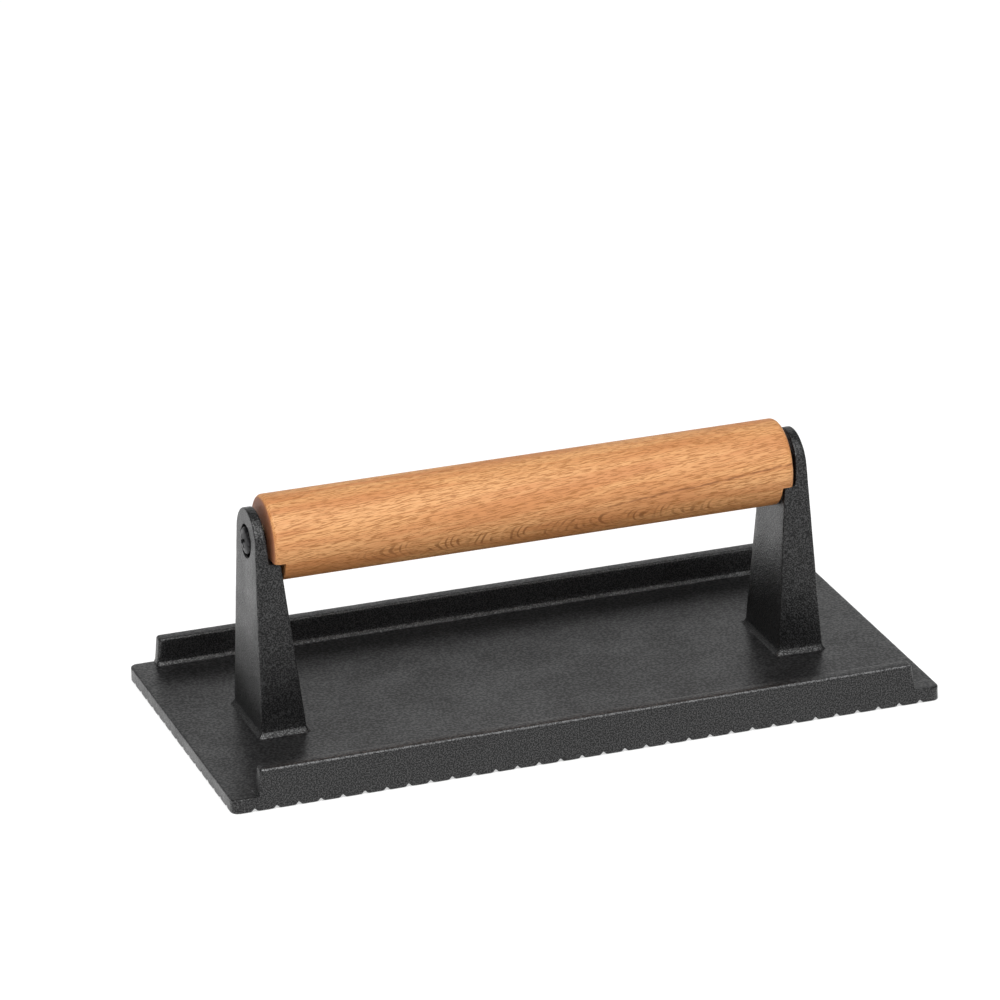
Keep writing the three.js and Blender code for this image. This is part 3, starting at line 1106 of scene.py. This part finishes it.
def growth_line(nodes):
    """A thin dark growth line that climbs slowly along the right half of the handle's front."""
    x, y, z = nodes.axes()
    climb = nodes.product(nodes.maths("SUBTRACT", x, LINE_START), LINE_CLIMB)
    wobble = nodes.product(nodes.noise(8 * MM, detail=3), 1.6 * MM)
    off_line = nodes.maths("SUBTRACT", nodes.maths("SUBTRACT", z, climb), wobble)
    off_line = nodes.maths("ABSOLUTE", nodes.maths("SUBTRACT", off_line, LINE_HEIGHT))
    line = nodes.span(off_line, 0.05 * MM, 0.45 * MM, 0.8, 0)
    broken = nodes.span(nodes.noise(2.2 * MM, detail=2), 0.3, 0.52, 0.35, 1)
    start = nodes.span(x, 5 * MM, 38 * MM)
    return nodes.product(line, broken, start, front_half(nodes, y))


def front_half(nodes, y):
    """1 in front of the handle's axis, 0 behind it."""
    return nodes.span(y, -2 * MM, 0, 1, 0)


def metal(name, dark, light, roughness, grain):
    """A bare metal, mottled from dark to light and from smooth to rough over the grain's size."""
    material, tree, shader = new_material(name)
    nodes = Nodes(tree)
    marks = nodes.noise(grain, detail=3)
    colour = nodes.blend(nodes.span(marks, 0.3, 0.7), dark, light)
    nodes.link(colour, shader.inputs["Base Color"])
    nodes.link(nodes.span(marks, 0.3, 0.7, *roughness), shader.inputs["Roughness"])
    nodes.link(nodes.bump(marks, 0.02 * MM, 0.5), shader.inputs["Normal"])
    shader.inputs["Metallic"].default_value = 1.0
    return material


def dress(piece, material):
    piece.data.materials.clear()
    piece.data.materials.append(material)


# ---------------------------------------------------------------- assembling


def stand_in(piece, node, slot, material):
    """The piece takes a CAD node's place: the node is hidden and the piece is dressed in the material;
    the slot is not used.
    """
    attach(piece, BODY)
    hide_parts(node)
    dress(piece, material)


iron = cast_iron()
wood = beech()
black_steel = metal(
    "black_oxide",
    dark=(0.02, 0.02, 0.021, 1),
    light=(0.06, 0.06, 0.062, 1),
    roughness=(0.3, 0.5),
    grain=0.8 * MM,
)
spring_steel = metal(
    "spring_steel",
    dark=(0.3, 0.3, 0.3, 1),
    light=(0.5, 0.5, 0.5, 1),
    roughness=(0.25, 0.4),
    grain=0.5 * MM,
)
turned_brass = metal(
    "turned_brass",
    dark=(0.55, 0.38, 0.12, 1),
    light=(0.75, 0.55, 0.2, 1),
    roughness=(0.2, 0.35),
    grain=0.5 * MM,
)

casting_piece = base_casting()
stand_in(casting_piece, "base_casting", "casting", iron)
handle_piece = handle()
stand_in(handle_piece, "handle", "handle_wood", wood)

for node, slot_name, material, build in (
    ("handle_screw", "screw_steel", black_steel, screw),
    ("split_washer", "washer_steel", spring_steel, split_washer),
    ("threaded_insert", "insert_brass", turned_brass, threaded_insert),
):
    right = build()
    left = turned_copy(right, f"{right.name}_left")
    stand_in(right, f"{node}_right", slot_name, material)
    stand_in(left, f"{node}_left", slot_name, material)


# ---------------------------------------------------------------- floor, light and camera


def floor():
    """A matt pale sheet that glows a little, so that it comes out as white as the backdrop."""
    reach = 6.0
    z = -0.05 * MM
    corners = [(x * reach, y * reach, z) for x, y in SQUARE]
    sheet = piece_from("floor", corners, [range(4)])
    material, tree, shader = new_material("pale_floor")
    nodes = Nodes(tree)
    tint = nodes.noise(0.4, detail=1)
    colour = nodes.blend(tint, (0.49, 0.49, 0.49, 1), (0.51, 0.51, 0.51, 1))
    nodes.link(colour, shader.inputs["Base Color"])
    shader.inputs["Roughness"].default_value = 0.9
    shader.inputs["Emission Color"].default_value = (1, 1, 1, 1)
    shader.inputs["Emission Strength"].default_value = 0.55
    dress(sheet, material)


def shining(lamp, direction, place=(0, 0, 0)):
    """Hangs a lamp at a place, shining along a direction."""
    holder = bpy.data.objects.new(lamp.name, lamp)
    holder.location = place
    holder.rotation_euler = Vector(direction).to_track_quat("-Z", "Y").to_euler()
    bpy.context.scene.collection.objects.link(holder)


def softbox(place, aim, size, power):
    lamp = bpy.data.lights.new("softbox_front", "AREA")
    lamp.shape = "RECTANGLE"
    lamp.size, lamp.size_y = size
    lamp.energy = power
    shining(lamp, Vector(aim) - Vector(place), place)


def skylight(direction, strength, spread):
    lamp = bpy.data.lights.new("overhead", "SUN")
    lamp.energy = strength
    lamp.angle = spread
    shining(lamp, direction)


def backdrop(brightest, dim, bright):
    """A white backdrop, dim all round but bright about one level direction."""
    world = bpy.data.worlds.new("studio")
    world.use_nodes = True
    tree = world.node_tree
    background = tree.nodes["Background"]
    background.inputs["Color"].default_value = (1, 1, 1, 1)
    direction = tree.nodes.new("ShaderNodeTexCoord")
    toward = tree.nodes.new("ShaderNodeVectorMath")
    toward.operation = "DOT_PRODUCT"
    toward.inputs[1].default_value = brightest
    level = tree.nodes.new("ShaderNodeMapRange")
    level.inputs["From Min"].default_value = 0.55
    level.inputs["From Max"].default_value = 0.9
    level.inputs["To Min"].default_value = dim
    level.inputs["To Max"].default_value = bright
    tree.links.new(direction.outputs["Generated"], toward.inputs[0])
    tree.links.new(toward.outputs["Value"], level.inputs["Value"])
    tree.links.new(level.outputs["Result"], background.inputs["Strength"])
    bpy.context.scene.world = world


def studio():
    backdrop(brightest=(0.45, 0.89, 0), dim=0.2, bright=0.68)
    softbox(place=(-0.2, -1.2, 1.2), aim=(0, 0, 0.03), size=(1.5, 1.1), power=19)
    skylight(direction=(0.25, 0.35, -1), strength=2.0, spread=math.radians(50))
    bpy.context.scene.view_settings.view_transform = "Standard"


def camera():
    """A long-lens view from the front left, a little above the press."""
    aim = Vector((-7.2 * MM, 0, AXIS_HEIGHT + 0.7 * MM))
    azimuth, elevation, roll = (math.radians(a) for a in (17.735, 20.69, -2.105))
    distance = 1.738
    forward = Vector(
        (
            math.sin(azimuth) * math.cos(elevation),
            math.cos(azimuth) * math.cos(elevation),
            -math.sin(elevation),
        )
    )
    level = forward.cross(Vector((0, 0, 1))).normalized()
    upward = level.cross(forward)
    right = level * math.cos(roll) + upward * math.sin(roll)
    upward = right.cross(forward)
    lens = bpy.data.cameras.new("camera")
    lens.sensor_width = 36
    lens.lens = 220.7
    lens.clip_start = 0.05
    lens.clip_end = 50
    viewer = bpy.data.objects.new("camera", lens)
    axes = Matrix((right, upward, -forward)).transposed().to_4x4()
    viewer.matrix_world = Matrix.Translation(aim - forward * distance) @ axes
    bpy.context.scene.collection.objects.link(viewer)
    bpy.context.scene.camera = viewer


floor()
studio()
camera()
